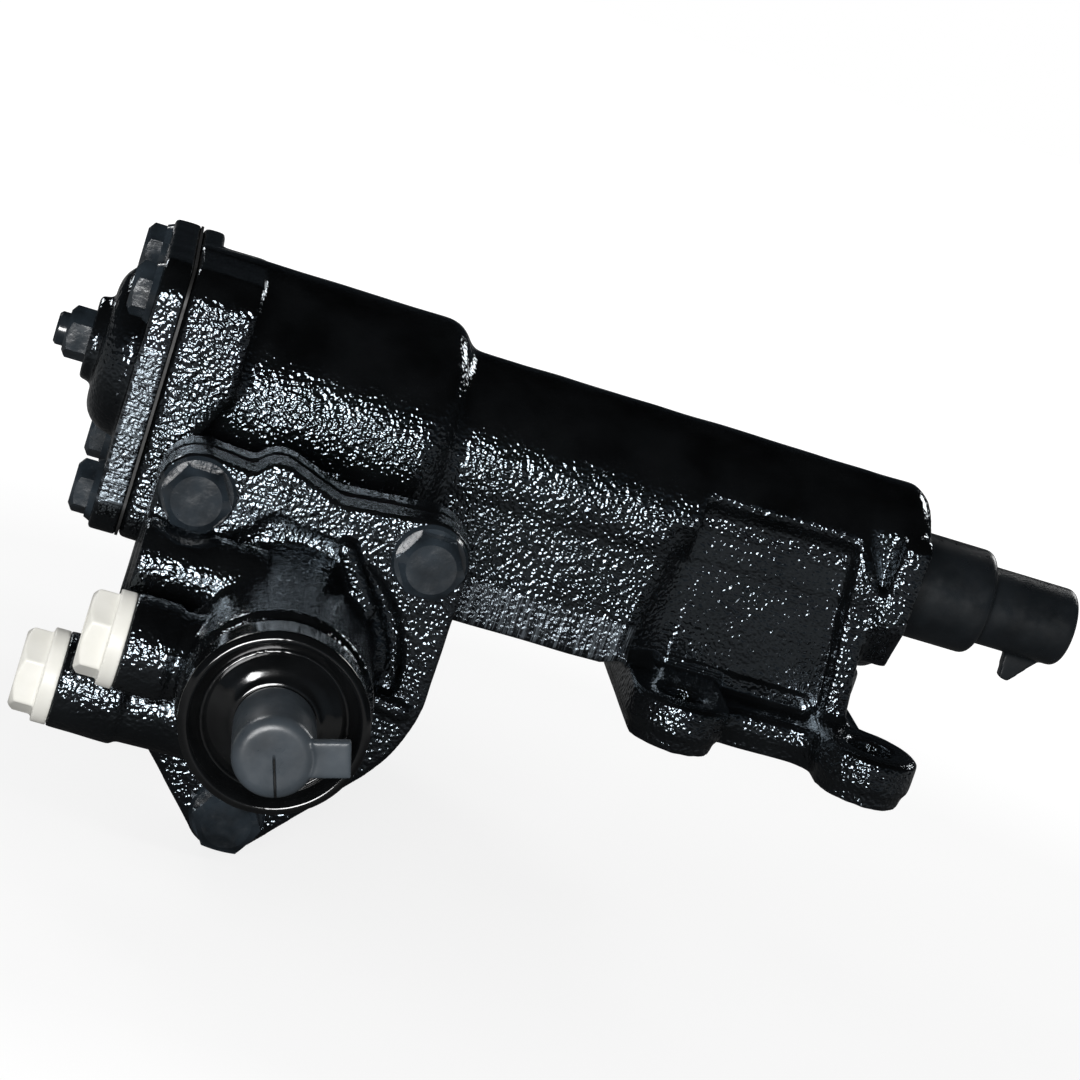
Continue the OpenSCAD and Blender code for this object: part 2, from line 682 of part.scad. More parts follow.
// Rack piston, drawn about the worm axis
guide_r = 3.5;
guide_span = 13;
strap_t = 1.2;
clamp_screw_r = 2;
clamp_head_t = 0.9;
guide_mid = clamp_screw_r + 0.7 + guide_r + guide_span / 2;
guide_z = -(piston_r - gap - clamp_head_t - strap_t - 0.1 - guide_r - guide_span / 2);
strap_z = guide_z - guide_span / 2 - guide_r - 0.1;
module rack_cut() {
    top = piston_r - rack_pitch_z + over;
    function flank_y(h) = tooth_pitch / 4 + h * tan(pressure_angle);
    land = rack_pitch_z + addendum;
    yz_cut = [for (i = [-1:1]) i * tooth_pitch];
    xplate(-piston_r - over, piston_r + over) {
        translate([-rack_half, land]) square([2 * rack_half, top]);
        for (m = yz_cut) translate([m, rack_pitch_z]) polygon([
            [-flank_y(-dedendum), -dedendum], [flank_y(-dedendum), -dedendum],
            [flank_y(addendum + 0.1), addendum + 0.1], [-flank_y(addendum + 0.1), addendum + 0.1]
        ]);
    }
}
module rack_piston() color(steel) worm_axis() difference() {
    yturn([
        [piston_front_y, 0], [piston_front_y, piston_r - 1], [piston_front_y + 1, piston_r],
        [piston_back_y - 1, piston_r], [piston_back_y, piston_r - 1], [piston_back_y, 0]
    ]);
    rack_cut();
    ycyl(nut_r, piston_front_y - over, piston_floor_y);
    yring(piston_r + over, piston_r - 4.5, ring_y, ring_y + ring_w + 0.2);
    translate([-11, -guide_mid - guide_span, -piston_r - over])
        cube([22, 2 * (guide_mid + guide_span), piston_r + over + guide_z]);
    for (s = [-1, 1], e = [-1, 1]) translate([0, s * guide_mid + e * guide_span / 2, 0])
        zcyl(guide_r + seat, guide_z - over, 0);
    zcyl(clamp_screw_r + seat, guide_z - over, -nut_r - 1.5);
}
module piston_seal_ring() color(dark_steel) worm_axis()
    yring(piston_r, piston_r - 2.3, ring_y + 0.1, ring_y + 0.1 + ring_w);
module piston_ring_expander() color(rubber) worm_axis()
    yring(piston_r - 2.4, piston_r - 4.4, ring_y + 0.3, ring_y + ring_w - 0.1);

// Worm thread: an offset circle turned along the axis, so its valley is a helix of the worm's lead
function valley(y) = 180 + 360 * (y - thread_start_y) / worm_lead;
balls_per_turn = floor(180 / asin((ball_r + 0.15) / ball_circle));
circuit_balls = floor(1.3 * balls_per_turn);
module recirculating_balls() color(steel) worm_axis() for (s = [-1, 1], i = [0:circuit_balls - 1]) {
    y = s * guide_mid + (i - (circuit_balls - 1) / 2) * worm_lead / balls_per_turn;
    a = valley(y);
    translate([ball_circle * cos(a), y, -ball_circle * sin(a)]) sphere(ball_r);
}
// Hairpin of round bar: a half ring below two straight legs
module hairpin(r, leg_len) {
    reach = guide_span / 2 + r + over;
    intersection() {
        rotate([0, 90, 0]) rotate_extrude() translate([guide_span / 2, 0]) circle(r);
        translate([-reach, -reach, -reach]) cube([2 * reach, 2 * reach, reach]);
    }
    for (e = [-1, 1]) translate([0, e * guide_span / 2, 0]) zcyl(r, 0, leg_len);
}
module ball_return_guides() color(steel) worm_axis() for (s = [-1, 1])
    translate([0, s * guide_mid, guide_z]) difference() {
        hairpin(guide_r, -guide_z - nut_r - 0.2);
        hairpin(ball_r + 0.2, -guide_z);
    }
module guide_clamp() color(steel) worm_axis() difference() {
    translate([-5, -guide_mid - 2, strap_z - strap_t]) cube([10, 2 * guide_mid + 4, strap_t]);
    zcyl(clamp_screw_r + 0.2, strap_z - strap_t - over, strap_z + over);
}
module clamp_screw() color(dark_steel) worm_axis() {
    zcyl(clamp_screw_r, strap_z - strap_t - 0.1, -nut_r - 2);
    zcyl(clamp_screw_r + 1.4, strap_z - strap_t - clamp_head_t, strap_z - strap_t);
}

// Worm shaft with its head, socket and bore
module worm_shaft() color(steel) worm_axis() difference() {
    thread_len_y = worm_end_y - thread_start_y;
    union() {
        yturn([
            [valve_back_y + 0.4, 0], [valve_back_y + 0.4, valve_r - 1.5], [bearing_y, valve_r - 1.5],
            [bearing_y, worm_neck_r], [joint_y + 1, worm_neck_r], [joint_y + 4, worm_r],
            [thread_start_y + 1, worm_r], [thread_start_y + 1, 0]
        ]);
        translate([0, thread_start_y, 0]) rotate([-90, 0, 0])
            linear_extrude(thread_len_y, twist = -360 * thread_len_y / worm_lead,
                           slices = ceil(worm_steps * thread_len_y / worm_lead), $fn = worm_sides)
                translate([worm_groove, 0]) circle(worm_r, $fn = worm_sides);
    }
    ycyl(input_tail_r + run, valve_back_y - over, input_tail_y + 0.5);
    ycyl(bar_end_r + seat, valve_back_y, bar_back_y + 0.3);
    translate([0, worm_pin_y, 0]) zcyl(pin_r + seat, -worm_r - 4, worm_r + 4);
}
module race_groove() rotate([-90, 0, 0]) rotate_extrude()
    translate([bearing_circle, 0]) circle(bearing_ball_r + 0.2);
module worm_bearing_outer_race() color(steel) worm_axis() difference() {
    yring(race_r - seat, race_r - race_t, bearing_y + 0.3, bearing_y + 0.3 + bearing_w);
    translate([0, bearing_y + 0.3 + bearing_w / 2, 0]) race_groove();
}
module worm_bearing_inner_race() color(steel) worm_axis() difference() {
    yring(worm_neck_r + race_t, worm_neck_r + seat, bearing_y + 0.1, bearing_y + 0.1 + bearing_w);
    translate([0, bearing_y + 0.3 + bearing_w / 2, 0]) race_groove();
}
module worm_bearing_balls() color(steel) worm_axis() {
    count = floor(180 / asin((bearing_ball_r + 0.4) / bearing_circle));
    for (i = [0:count - 1]) {
        p = bearing_circle * dir(i * 360 / count);
        translate([p[0], bearing_y + 0.3 + bearing_w / 2, p[1]]) sphere(bearing_ball_r);
    }
}
module worm_bearing_ring() color(dark_steel) worm_axis()
    yring(race_r + 0.8, race_r - 2.5, joint_y + 0.1, joint_y + 1.5);

// Rotary valve
seal_ring_w = 2.5;
seal_ring_t = 1.7;
seal_ring_edge = 2 * seal_ring_w;
seal_ring_step = (sleeve_back_y - sleeve_front_y - 2 * seal_ring_edge - seal_ring_w) / 3;
seal_ring_ys = [for (i = [0:3]) sleeve_front_y + seal_ring_edge + i * seal_ring_step];
valve_hole_r = 1.8;
module valve_sleeve() color(steel) worm_axis() difference() {
    yring(sleeve_r, spool_r + run, sleeve_front_y, sleeve_back_y);
    for (y = seal_ring_ys) yring(sleeve_r + over, sleeve_r - seal_ring_t, y, y + seal_ring_w);
    for (i = [0:2], a = [0:90:270])
        translate([0, seal_ring_ys[i] + (seal_ring_step + seal_ring_w) / 2, 0]) rotate([0, a + i * 45, 0])
            zcyl(valve_hole_r, spool_r - over, sleeve_r + over);
}
module valve_seal_rings() color(dark_steel) worm_axis()
    for (y = seal_ring_ys) yring(valve_r - seat, sleeve_r - seal_ring_t + 0.1, y + 0.1, y + seal_ring_w - 0.1);
module torsion_bar() color(steel) worm_axis() difference() {
    yturn([
        [bar_front_y, 0], [bar_front_y, bar_end_r], [bar_front_y + bar_end_len, bar_end_r],
        [bar_front_y + bar_end_len + 4, torsion_r], [bar_back_y - bar_end_len - 4, torsion_r],
        [bar_back_y - bar_end_len, bar_end_r], [bar_back_y, bar_end_r], [bar_back_y, 0]
    ]);
    translate([0, worm_pin_y, 0]) zcyl(pin_r + seat, -bar_end_r - over, bar_end_r + over);
    translate([0, input_pin_y, 0])
        zcyl(pin_r + bar_end_r * tan(valve_twist) + 0.2, -bar_end_r - over, bar_end_r + over);
}
module torsion_bar_worm_pin() color(dark_steel) worm_axis()
    translate([0, worm_pin_y, 0]) zcyl(pin_r, 0.5 - worm_r + worm_groove, worm_r - worm_groove - 0.5);
module torsion_bar_input_pin() color(dark_steel) worm_axis()
    translate([0, input_pin_y, 0]) zcyl(pin_r, 0.4 - input_r, input_r - 0.4);
module input_shaft() color(steel) worm_axis() difference() {
    union() {
        yturn([
            [dust_front_y, 0], [dust_front_y, input_r], [sleeve_front_y - 0.5, input_r],
            [sleeve_front_y + 1.5, spool_r], [sleeve_back_y - 0.6, spool_r], [sleeve_back_y - 0.6, input_tail_r],
            [input_tail_y, input_tail_r], [input_tail_y, 0]
        ]);
        translate([0, input_end_y + 1, 0]) rotate([-90, 0, 0])
            splined(input_spline_r, 0.6, input_spline_teeth, input_spline_len);
        yturn([[input_end_y, 0], [input_end_y, input_spline_r - 1.6], [input_end_y + 1, input_spline_r - 0.9],
               [input_end_y + 2, input_spline_r - 0.9], [input_end_y + 2, 0]]);
    }
    ycyl(bar_end_r + run, bar_front_y - 0.3, input_tail_y + over);
    translate([0, input_pin_y, 0]) zcyl(pin_r + seat, -input_r - over, input_r + over);
    for (a = [0:60:300]) rotate([0, a, 0])
        translate([-1.5, sleeve_front_y + 8, spool_r - 1.2]) cube([3, valve_len - 18, 3]);
}

// Valve housing casting
module port_boss(y, z, face) translate([0, y, z]) {
    neck_x = -valve_body_r - 12;
    xcyl(port_boss_r - 1.2, -face + 1, 0);
    xcyl(port_boss_r, -face, min(neck_x + 9, -face + 18));
}
module port_bore(y, z, face) translate([0, y, z]) {
    xcyl(port_r, -face - over, -face + port_depth);
    xcyl(port_r * 0.45, -face + port_depth - over, 0);
}
// Hollows round the valve body, as an outline in the flange's front: a part ring and an arch
hollow_r = bolt_circle - flange_lobe_r - 3.2;
module flange_hollows() {
    wide = 2 * hollow_r;
    intersection() {
        circle(hollow_r);
        polygon([[0, 0], wide * dir(-11), wide * dir(35), wide * dir(80), wide * dir(125), wide * dir(163)]);
    }
    bar(valve_body_r * dir(passage_angle), (hollow_r - 3.5) * dir(passage_angle), 6.6);
}
module valve_ribs() {
    floor_y = flange_y + flange_hollow + 0.5;
    yplate(flange_y - 6, floor_y) bar((hollow_r + 0.7) * dir(74), (valve_body_r + 2.5) * dir(45), 2.4);
    yplate(flange_y - 1.5, floor_y) {
        bar((valve_body_r - 2) * dir(-11), (hollow_r + 4) * dir(-10), 2.2);
        intersection() {
            circle(hollow_r - 4.2);
            polygon([[0, 0], 2 * hollow_r * dir(5), 2 * hollow_r * dir(50)]);
        }
    }
    // Hollow foot of the valve body, widening into the flange
    yturn([
        [flange_y - 13, 0], [flange_y - 13, valve_body_r - 0.6], [flange_y - 4, valve_body_r + 1],
        [floor_y, valve_body_r + 4], [floor_y, 0]
    ]);
    // Boss of the relief valve, across the worm axis
    translate([0, flange_y - relief_boss_r + 5.3, 17]) xcyl(relief_boss_r, -44, -10);
}
module valve_housing() color(cast_black) worm_axis() difference() {
    union() {
        difference() {
            yplate(flange_y, joint_y) flange_outline(flange_r - 0.6);
            yplate(flange_y - over, flange_y + flange_hollow) flange_hollows();
        }
        ycyl(bore_r - 0.2, joint_y - 1, joint_y + spigot);
        ycyl(valve_body_r, nose_y + 3, joint_y - 1);
        ycyl(valve_body_r - 1.5, nose_y, nose_y + 4);
        valve_ribs();
        port_boss(pressure_y, pressure_rise, pressure_face);
        port_boss(return_y, -return_drop, return_face);
    }
    ycyl(valve_r, valve_front_y, bearing_y + over);
    ycyl(race_r, bearing_y, joint_y + spigot + over);
    yring(race_r + 0.9, race_r - over, joint_y, joint_y + 1.6);
    ycyl(nose_thread_r, nose_y - over, valve_front_y + over);
    yring(bore_r + 4.1, bore_r + 0.9, joint_y - 2.4, joint_y + over / 2);
    translate([passage_circle * cos(passage_angle), 0, passage_circle * sin(passage_angle)]) {
        ycyl(passage_r, joint_y - valve_flange / 2, joint_y + over);
        ycyl(passage_r + 2, joint_y - 1.6, joint_y + over);
    }
    port_bore(pressure_y, pressure_rise, pressure_face);
    port_bore(return_y, -return_drop, return_face);
    for (p = flange_bolts)
        translate([p[0], 0, p[1]]) ycyl(flange_bolt_d / 2 + 0.4, flange_y - 40, joint_y + over);
    for (p = flange_bolts)
        translate([p[0], 0, p[1]]) ycyl(flange_lobe_r - 0.2, flange_y - 40, flange_y);
}
module valve_housing_bolts() color(dark_steel) worm_axis() for (p = flange_bolts)
    translate([p[0], flange_y, p[1]]) rotate([90, 0, 0])
        flange_bolt(flange_bolt_d, flange_bolt_af, flange_lobe_r - 0.6, 6.5, valve_flange + housing_flange - 1);
module valve_housing_o_ring() color(rubber) worm_axis() translate([0, joint_y - 1.2, 0])
    rotate([-90, 0, 0]) rotate_extrude() translate([bore_r + 2.5, 0]) circle(1.2);
module passage_o_ring() color(rubber) worm_axis()
    translate([passage_circle * cos(passage_angle), joint_y - 0.8, passage_circle * sin(passage_angle)])
        rotate([-90, 0, 0]) rotate_extrude() translate([passage_r + 1.1, 0]) circle(0.8);

// Nose of the valve housing
nut_front_y = nose_y + 0.5;
nut_seal_r = input_r + 6;
nut_bearing_r = input_r + 3;
lock_ring_t = 1.2;
input_seal_t = 5;
input_seal_y = nut_front_y + lock_ring_t + 0.2;
nut_step_y = input_seal_y + input_seal_t + 0.1;
module bearing_retainer_nut() color(dark_steel) worm_axis() difference() {
    ycyl(nose_thread_r - seat, nut_front_y, valve_front_y - 0.5);
    spanner_w = 3;
    ycyl(nut_bearing_r, nut_front_y - over, valve_front_y);
    ycyl(nut_seal_r, nut_front_y - over, nut_step_y);
    for (a = [45:90:315]) rotate([0, a, 0])
        translate([nut_seal_r + 2, nut_front_y - over, -spanner_w / 2]) cube([nose_thread_r, spanner_w, spanner_w]);
}
module retainer_lock_ring() color(dark_steel) worm_axis()
    yring(nut_seal_r - seat, nut_bearing_r + 0.5, nut_front_y, nut_front_y + lock_ring_t);
module input_oil_seal() color(rubber) worm_axis() yturn([
    [input_seal_y, nut_seal_r - seat], [input_seal_y + input_seal_t, nut_seal_r - seat],
    [input_seal_y + input_seal_t, nut_bearing_r - 0.4], [input_seal_y + input_seal_t * 0.6, input_r + run],
    [input_seal_y + input_seal_t * 0.4, input_r + run], [input_seal_y, nut_bearing_r - 1]
]);
module input_needle_bearing() color(steel) worm_axis()
    yring(nut_bearing_r - seat, input_r + run, nut_step_y + 0.2, valve_front_y - 0.6);

// Ports
module port_seats() color(brass) worm_axis()
    for (p = [[pressure_y, pressure_rise, pressure_face], [return_y, -return_drop, return_face]])
        translate([0, p[0], p[1]]) difference() {
            union() {
                xcyl(port_r * 0.45 - seat, -p[2] + port_depth, -p[2] + port_depth + 6);
                translate([-p[2] + port_depth - 2, 0, 0]) rotate([0, 90, 0])
                    cylinder(r1 = port_r * 0.4, r2 = port_r * 0.75, h = 2);
            }
            xcyl(port_r * 0.25, -p[2], -p[2] + port_depth + 7);
        }
module port_plug(y, z, face) translate([-face, y, z]) rotate([0, -90, 0]) {
    cylinder(r = plug_flange_r, h = plug_flange_t);
    translate([0, 0, plug_flange_t - 0.1]) difference() {
        hex_head(plug_af, plug_hex_h, 0.47 * plug_af);
        translate([0, 0, 1.5]) cylinder(r = plug_af / 2 - 2.4, h = plug_hex_h);
    }
    translate([0, 0, -plug_stem]) cylinder(r = port_r - 0.1, h = plug_stem + 0.1);
}
module pressure_port_plug() color(ivory) worm_axis() port_plug(pressure_y, pressure_rise, pressure_face);
module return_port_plug() color(ivory) worm_axis() port_plug(return_y, -return_drop, return_face);

// Dust cover: a rubber cup with a rim, a groove inside it and a cone up to the shaft
module dust_cover() color(rubber) worm_axis() yturn([
    [dust_back_y, dust_r], [dust_front_y + 1.5, dust_r], [dust_front_y, dust_r - 1.5],
    [dust_front_y, dust_r - 2.4], [dust_front_y + 3.2, dust_r - 5.2], [dust_front_y + 4.6, dust_r - 5.6],
    [dust_front_y + 3.4, dust_r - 7], [dust_front_y + 1.9, dust_r - 9.8], [dust_front_y + 0.9, input_r + 3.4],
    [dust_front_y, input_r + 2.4], [dust_front_y, input_r + seat], [dust_front_y + 7, input_r + seat],
    [dust_front_y + 7, input_r + 2], [dust_front_y + 4.5, input_r + 4], [dust_front_y + 6.5, dust_r - 6.5],
    [dust_front_y + 7, dust_r - 3], [dust_back_y, dust_r - 2.4]
]);

// Input cap: a domed sleeve with a flat pull tab
input_tab_angle = 16;
input_tab_w = 9.6;
input_cap_in = input_spline_r + 0.35;
input_cap_r = input_cap_in + cap_wall;
input_cap_y = dust_front_y - gap;
input_cap_end = input_end_y - 0.4 - cap_wall;
module input_shaft_cap() color(rubber) worm_axis() union() {
    round_r = 3;
    yturn(concat(
        [[input_cap_y, input_cap_in], [input_cap_y, input_cap_r]],
        arc([input_cap_end + round_r, input_cap_r - round_r], round_r, 90, 180, 6),
        [[input_cap_end, 0], [input_cap_end + cap_wall, 0], [input_cap_end + cap_wall, input_cap_in]]
    ));
    translate([0, input_cap_end + 3, 0]) yplate(-3, 0.6) difference() {
        rotate(input_tab_angle) translate([0, -input_tab_w / 2]) square([input_tab_reach, input_tab_w]);
        circle(input_cap_r - 0.5);
    }
}

place() gear_housing();
place() side_cover();
place() side_cover_gasket();
place() side_cover_bolts();
place() adjusting_screw();
place() lock_nut();
place() cover_needle_bearing();
place() inner_needle_bearing();
place() outer_needle_bearing();
place() output_oil_seal();
place() output_seal_ring();
place() valve_housing();
place() valve_housing_bolts();
place() valve_housing_o_ring();
place() passage_o_ring();
place() worm_bearing_outer_race();
place() worm_bearing_ring();
place() bearing_retainer_nut();
place() retainer_lock_ring();
place() input_needle_bearing();
place() input_oil_seal();
place() port_seats();
place() sector_shaft();
place() adjuster_shim();
place() adjuster_retainer();
place() output_shaft_cap();
place() rack_piston();
place() piston_seal_ring();
place() piston_ring_expander();
place() recirculating_balls();
place() ball_return_guides();
place() guide_clamp();
place() clamp_screw();
place() worm_shaft();
place() worm_bearing_inner_race();
place() worm_bearing_balls();
place() valve_sleeve();
place() valve_seal_rings();
place() torsion_bar();
place() torsion_bar_worm_pin();
place() input_shaft();
place() torsion_bar_input_pin();
place() dust_cover();
place() input_shaft_cap();
place() pressure_port_plug();
place() return_port_plug();
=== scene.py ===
"""Power steering gearbox: finish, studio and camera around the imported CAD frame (metres)."""
import math

import bpy
from mathutils import Matrix, Vector, noise


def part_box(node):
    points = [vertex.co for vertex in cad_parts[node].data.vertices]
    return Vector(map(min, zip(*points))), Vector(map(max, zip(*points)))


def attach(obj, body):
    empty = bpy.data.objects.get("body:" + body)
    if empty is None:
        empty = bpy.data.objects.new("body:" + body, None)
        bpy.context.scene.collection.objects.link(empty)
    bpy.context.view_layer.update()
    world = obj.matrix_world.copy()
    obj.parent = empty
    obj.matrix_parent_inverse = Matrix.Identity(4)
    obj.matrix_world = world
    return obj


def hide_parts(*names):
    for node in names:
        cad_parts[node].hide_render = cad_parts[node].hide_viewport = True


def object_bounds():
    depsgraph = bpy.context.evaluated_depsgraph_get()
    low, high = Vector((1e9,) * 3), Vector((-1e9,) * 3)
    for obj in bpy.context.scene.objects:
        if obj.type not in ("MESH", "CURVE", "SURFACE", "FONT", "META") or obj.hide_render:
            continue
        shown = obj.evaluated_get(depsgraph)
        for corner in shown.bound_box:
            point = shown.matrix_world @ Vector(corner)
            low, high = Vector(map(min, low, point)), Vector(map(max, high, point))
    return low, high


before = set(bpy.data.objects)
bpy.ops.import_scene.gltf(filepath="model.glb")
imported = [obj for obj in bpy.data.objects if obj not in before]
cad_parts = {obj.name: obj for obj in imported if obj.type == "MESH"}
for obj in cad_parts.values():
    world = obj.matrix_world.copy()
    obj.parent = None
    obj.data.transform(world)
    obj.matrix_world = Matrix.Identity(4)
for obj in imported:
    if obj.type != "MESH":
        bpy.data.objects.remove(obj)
cad_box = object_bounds()
scene = bpy.context.scene
MM = 0.001
OBJECT_MIDDLE = Vector((-0.08, 0.0, 0.04))

# Camera fitted to the photograph, which is taken as 1080 pixels square
CAMERA_AT = Vector((-0.2146, -0.8275, 0.2273))
CAMERA_TO = Vector((-0.0764, 0.0, 0.0362))
CAMERA_ROLL = math.radians(18.6)
CAMERA_LENS = 94.77
SENSOR_WIDTH = 36.0
CLIP_END = 50.0

# Cool tints of the light in the black paint's gloss and of the studio that it mirrors
WHITE = (1.0, 1.0, 1.0, 1.0)
PAINT_SHEEN = (0.78, 0.9, 1.0, 1.0)
STUDIO_TINT = (0.68, 0.84, 1.0, 1.0)

# Ranges that values are mapped between; most of a noise texture lies in its band
NOISE_BAND = (0.3, 0.7)
RISE = (0.0, 1.0)
FALL = (1.0, 0.0)

# Foot of the gear housing, in millimetres of the frame
FOOT_HOLE_X = 29.5
FOOT_HOLE_Y = 45.0
LUG_RADIUS = 15.0


def make_camera():
    data = bpy.data.cameras.new("camera")
    data.sensor_width = SENSOR_WIDTH
    data.lens = CAMERA_LENS
    data.clip_end = CLIP_END
    camera = bpy.data.objects.new("camera", data)
    scene.collection.objects.link(camera)
    forward = (CAMERA_TO - CAMERA_AT).normalized()
    right = forward.cross(Vector((0, 0, 1))).normalized()
    down = forward.cross(right)
    turned_right = math.cos(CAMERA_ROLL) * right - math.sin(CAMERA_ROLL) * down
    turned_down = math.sin(CAMERA_ROLL) * right + math.cos(CAMERA_ROLL) * down
    axes = Matrix((turned_right, -turned_down, -forward)).transposed()
    camera.matrix_world = Matrix.Translation(CAMERA_AT) @ axes.to_4x4()
    scene.camera = camera


# Nodes and materials
def add(tree, kind, links=None, **settings):
    """New node in a tree, with its inputs linked to other outputs or set to values."""
    made = tree.nodes.new(kind)
    for key, value in settings.items():
        setattr(made, key, value)
    for key, value in (links or {}).items():
        if isinstance(value, bpy.types.NodeSocket):
            tree.links.new(value, made.inputs[key])
        else:
            made.inputs[key].default_value = value
    return made


def ranged(tree, value, source, target):
    """Maps a value from one (low, high) range to another and holds it there beyond the ends."""
    links = {"Value": value, "From Min": source[0], "From Max": source[1]}
    links.update({"To Min": target[0], "To Max": target[1]})
    return add(tree, "ShaderNodeMapRange", links).outputs["Result"]


def calc(tree, operation, a, b=0.0):
    return add(tree, "ShaderNodeMath", {0: a, 1: b}, operation=operation).outputs[0]


def mixed(tree, fac, a, b):
    return add(tree, "ShaderNodeMix", {0: fac, 6: a, 7: b}, data_type="RGBA").outputs[2]


class Shader:
    """One node material on a Principled BSDF, with object coordinates as its texture space."""

    def __init__(self, name, **sockets):
        self.mat = bpy.data.materials.new(name)
        self.mat.use_nodes = True
        self.tree = self.mat.node_tree
        self.bsdf = self.tree.nodes["Principled BSDF"]
        for socket, value in sockets.items():
            self.bsdf.inputs[socket.replace("_", " ")].default_value = value
        self.place = self.node("ShaderNodeTexCoord").outputs["Object"]

    def node(self, kind, links=None, **settings):
        return add(self.tree, kind, links, **settings)

    def set(self, socket, output):
        self.tree.links.new(output, self.bsdf.inputs[socket])

    def stretched(self, scale):
        return self.node("ShaderNodeMapping", {"Vector": self.place, "Scale": scale}).outputs[0]

    def noise(self, scale, detail=2.0, rough=0.5, space=None):
        links = {"Vector": space or self.place, "Scale": scale, "Detail": detail, "Roughness": rough}
        return self.node("ShaderNodeTexNoise", links).outputs["Fac"]

    def cells(self, scale):
        links = {"Vector": self.place, "Scale": scale, "Smoothness": 0.6}
        return self.node("ShaderNodeTexVoronoi", links, feature="SMOOTH_F1").outputs["Distance"]

    def ramp(self, fac, stops, *colours):
        made = self.node("ShaderNodeValToRGB", {"Fac": fac})
        for element, stop, colour in zip(made.color_ramp.elements, stops, colours):
            element.position = stop
            element.color = colour
        return made.outputs["Color"]

    def span(self, value, source, target):
        return ranged(self.tree, value, source, target)

    def math(self, operation, a, b=0.0):
        return calc(self.tree, operation, a, b)

    def blend(self, fac, a, b):
        return mixed(self.tree, fac, a, b)

    def inside(self, low, high, soft):
        """1 inside a box given in millimetres, falling to 0 over a soft edge."""
        axes = self.node("ShaderNodeSeparateXYZ", {"Vector": self.place}).outputs
        mask = 1.0
        for axis, start, end in zip(axes, low, high):
            rise = self.span(axis, ((start - soft) * MM, start * MM), RISE)
            fall = self.span(axis, (end * MM, (end + soft) * MM), FALL)
            mask = self.math("MULTIPLY", self.math("MULTIPLY", rise, fall), mask)
        return mask

    def facing_up(self):
        normal = self.node("ShaderNodeNewGeometry").outputs["Normal"]
        return self.node("ShaderNodeSeparateXYZ", {"Vector": normal}).outputs["Z"]

    def bump(self, height, distance, strength, under=None):
        """Relief of a distance in millimetres, over another relief where one is given."""
        links = {"Height": height, "Distance": distance * MM, "Strength": strength}
        if under is not None:
            links["Normal"] = under
        return self.node("ShaderNodeBump", links).outputs["Normal"]


def grey(value, blue=0.0):
    return (value, value * (1 + 0.5 * blue), value * (1 + blue), 1.0)


def cast_paint(name, grain, depth, calm, marks=(), smooth=()):
    """Glossy black paint over a sand-cast skin, which levels where it faces up.

    grain is the scale of the skin's facets, depth their relief in millimetres, and calm the share of it
    that is left on top. marks are boxes where the casting was ground, with the stretch of the streaks.
    smooth are boxes where the skin is finer.
    """
    paint = Shader(name, IOR=1.9, Specular_IOR_Level=0.6, Specular_Tint=PAINT_SHEEN)
    clouds = paint.noise(scale=55.0, detail=3.0)
    colour = paint.ramp(clouds, (0.35, 0.7), grey(0.002, 0.2), grey(0.005, 0.25))
    gloss = paint.span(paint.noise(scale=140.0, detail=3.0), NOISE_BAND, (0.05, 0.12))
    level = paint.span(paint.facing_up(), (0.1, 0.55), (1.0, calm))
    for low, high in smooth:
        finer = paint.span(paint.inside(low, high, soft=2.0), RISE, (1.0, 0.5))
        level = paint.math("MULTIPLY", level, finer)
    patches = paint.span(paint.noise(scale=45.0), NOISE_BAND, (0.6, 1.3))
    patchy = paint.math("MULTIPLY", level, patches)
    facets = paint.math("MULTIPLY", paint.noise(grain, detail=0.6, rough=0.4), patchy)
    relief = paint.bump(facets, depth, strength=1.0)
    pits = paint.math("MULTIPLY", paint.cells(grain * 0.6), level)
    relief = paint.bump(pits, depth, strength=0.7, under=relief)
    for low, high, streak in marks:
        ground = paint.inside(low, high, soft=1.5)
        lines = paint.noise(scale=1.0, detail=3.0, rough=0.6, space=paint.stretched(streak))
        worn = paint.math("MULTIPLY", ground, paint.span(lines, (0.5, 0.66), RISE))
        colour = paint.blend(worn, colour, grey(0.09, 0.3))
        relief = paint.bump(paint.math("MULTIPLY", ground, lines), 0.3, strength=0.8, under=relief)
        gloss = paint.math("ADD", gloss, paint.math("MULTIPLY", ground, 0.1))
    paint.set("Base Color", colour)
    paint.set("Roughness", gloss)
    paint.set("Normal", relief)
    return paint.mat


def plain_finish(name, low, high, rough, grain, depth, metal=0.0, stretch=None, spread=0.08, level=0.5):
    """Finish that varies between two colours, with a fine surface grain or tool marks."""
    made = Shader(name, Metallic=metal, Specular_IOR_Level=level)
    space = made.stretched(stretch) if stretch else None
    gloss = made.noise(scale=260.0, detail=3.0)
    made.set("Base Color", made.ramp(made.noise(scale=90.0, detail=4.0), NOISE_BAND, low, high))
    made.set("Roughness", made.span(gloss, NOISE_BAND, (rough - spread, rough + spread)))
    made.set("Normal", made.bump(made.noise(grain, 3.0, 0.6, space), depth, strength=0.6))
    return made.mat


